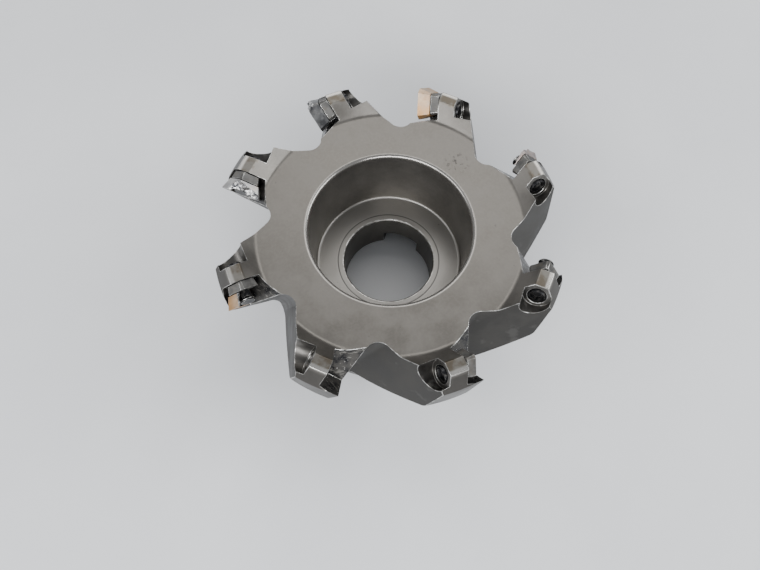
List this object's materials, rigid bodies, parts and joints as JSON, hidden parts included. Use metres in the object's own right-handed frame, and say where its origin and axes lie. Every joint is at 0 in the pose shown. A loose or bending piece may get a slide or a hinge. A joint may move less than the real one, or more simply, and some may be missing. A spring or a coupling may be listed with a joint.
{
  "type": "indexable face mill",
  "caption": "Bore-mounted face milling cutter with gullets, square inserts and shims held by lock pins and nuts, some broken.",
  "frame": {"origin": "on the cutter's axis at the hub's back face", "axes": "+Z along the cutter's axis from the hub to the cutting face; tooth 1 lies at 72 degrees from +X towards +Y, and the others follow clockwise seen from +Z"},
  "size_m": [0.1329, 0.1329, 0.0576],
  "materials": {
    "body_steel": "satin, oiled tool steel with worn bright edges",
    "carbide": "ground, matt grey carbide",
    "coated_carbide": "worn copper-tan coating over dark carbide",
    "black_oxide": "oily black oxide"
  },
  "bodies": {
    "cutter": {"cutter_body": "body_steel", "shim_1": "carbide", "shim_2": "carbide", "shim_3": "carbide", "shim_4": "carbide", "shim_6": "carbide", "shim_7": "carbide", "shim_8": "carbide", "insert_1": "coated_carbide", "insert_2": "coated_carbide", "insert_6": "coated_carbide", "insert_7": "coated_carbide", "insert_8": "coated_carbide"},
    "lock_nut_1": {"lock_nut_1": "black_oxide"},
    "lock_pin_1": {"lock_pin_1": "black_oxide"},
    "lock_nut_2": {"lock_nut_2": "black_oxide"},
    "lock_pin_2": {"lock_pin_2": "black_oxide"},
    "lock_nut_3": {"lock_nut_3": "black_oxide"},
    "lock_pin_3": {"lock_pin_3": "black_oxide"},
    "lock_nut_4": {"lock_nut_4": "black_oxide"},
    "lock_pin_4": {"lock_pin_4": "black_oxide"},
    "lock_nut_6": {"lock_nut_6": "black_oxide"},
    "lock_pin_6": {"lock_pin_6": "black_oxide"},
    "lock_nut_7": {"lock_nut_7": "black_oxide"},
    "lock_pin_7": {"lock_pin_7": "black_oxide"},
    "lock_nut_8": {"lock_nut_8": "black_oxide"},
    "lock_pin_8": {"lock_pin_8": "black_oxide"}
  },
  "joints": [
    {"name": "nut_turn_1", "type": "hinge", "parent": "cutter", "child": "lock_nut_1", "pos_m": [0.02636, 0.05492, 0.05184], "axis": [0.9406, -0.3304, 0.0784], "range_deg": [0, 1080]},
    {"name": "pin_slide_1", "type": "slide", "parent": "cutter", "child": "lock_pin_1", "axis": [-0.9406, 0.3304, -0.0784], "range_m": [0, 0.0015]},
    {"name": "nut_turn_2", "type": "hinge", "parent": "cutter", "child": "lock_nut_2", "pos_m": [0.05747, 0.0202, 0.05184], "axis": [0.4315, -0.8987, 0.0784], "range_deg": [0, 1080]},
    {"name": "pin_slide_2", "type": "slide", "parent": "cutter", "child": "lock_pin_2", "axis": [-0.4315, 0.8987, -0.0784], "range_m": [0, 0.0015]},
    {"name": "nut_turn_3", "type": "hinge", "parent": "cutter", "child": "lock_nut_3", "pos_m": [0.05492, -0.02636, 0.05184], "axis": [-0.3304, -0.9406, 0.0784], "range_deg": [0, 1080]},
    {"name": "pin_slide_3", "type": "slide", "parent": "cutter", "child": "lock_pin_3", "axis": [0.3304, 0.9406, -0.0784], "range_m": [0, 0.0015]},
    {"name": "nut_turn_4", "type": "hinge", "parent": "cutter", "child": "lock_nut_4", "pos_m": [0.0202, -0.05747, 0.05184], "axis": [-0.8987, -0.4315, 0.0784], "range_deg": [0, 1080]},
    {"name": "pin_slide_4", "type": "slide", "parent": "cutter", "child": "lock_pin_4", "axis": [0.8987, 0.4315, -0.0784], "range_m": [0, 0.0015]},
    {"name": "nut_turn_6", "type": "hinge", "parent": "cutter", "child": "lock_nut_6", "pos_m": [-0.05747, -0.0202, 0.05184], "axis": [-0.4315, 0.8987, 0.0784], "range_deg": [0, 1080]},
    {"name": "pin_slide_6", "type": "slide", "parent": "cutter", "child": "lock_pin_6", "axis": [0.4315, -0.8987, -0.0784], "range_m": [0, 0.0015]},
    {"name": "nut_turn_7", "type": "hinge", "parent": "cutter", "child": "lock_nut_7", "pos_m": [-0.05492, 0.02636, 0.05184], "axis": [0.3304, 0.9406, 0.0784], "range_deg": [0, 1080]},
    {"name": "pin_slide_7", "type": "slide", "parent": "cutter", "child": "lock_pin_7", "axis": [-0.3304, -0.9406, -0.0784], "range_m": [0, 0.0015]},
    {"name": "nut_turn_8", "type": "hinge", "parent": "cutter", "child": "lock_nut_8", "pos_m": [-0.0202, 0.05747, 0.05184], "axis": [0.8987, 0.4315, 0.0784], "range_deg": [0, 1080]},
    {"name": "pin_slide_8", "type": "slide", "parent": "cutter", "child": "lock_pin_8", "axis": [-0.8987, -0.4315, -0.0784], "range_m": [0, 0.0015]}
  ],
  "couplings": [
    {"joint": "nut_turn_1", "follows": "pin_slide_1", "rad_per_m": 12566},
    {"joint": "nut_turn_2", "follows": "pin_slide_2", "rad_per_m": 12566},
    {"joint": "nut_turn_3", "follows": "pin_slide_3", "rad_per_m": 12566},
    {"joint": "nut_turn_4", "follows": "pin_slide_4", "rad_per_m": 12566},
    {"joint": "nut_turn_6", "follows": "pin_slide_6", "rad_per_m": 12566},
    {"joint": "nut_turn_7", "follows": "pin_slide_7", "rad_per_m": 12566},
    {"joint": "nut_turn_8", "follows": "pin_slide_8", "rad_per_m": 12566}
  ]
}
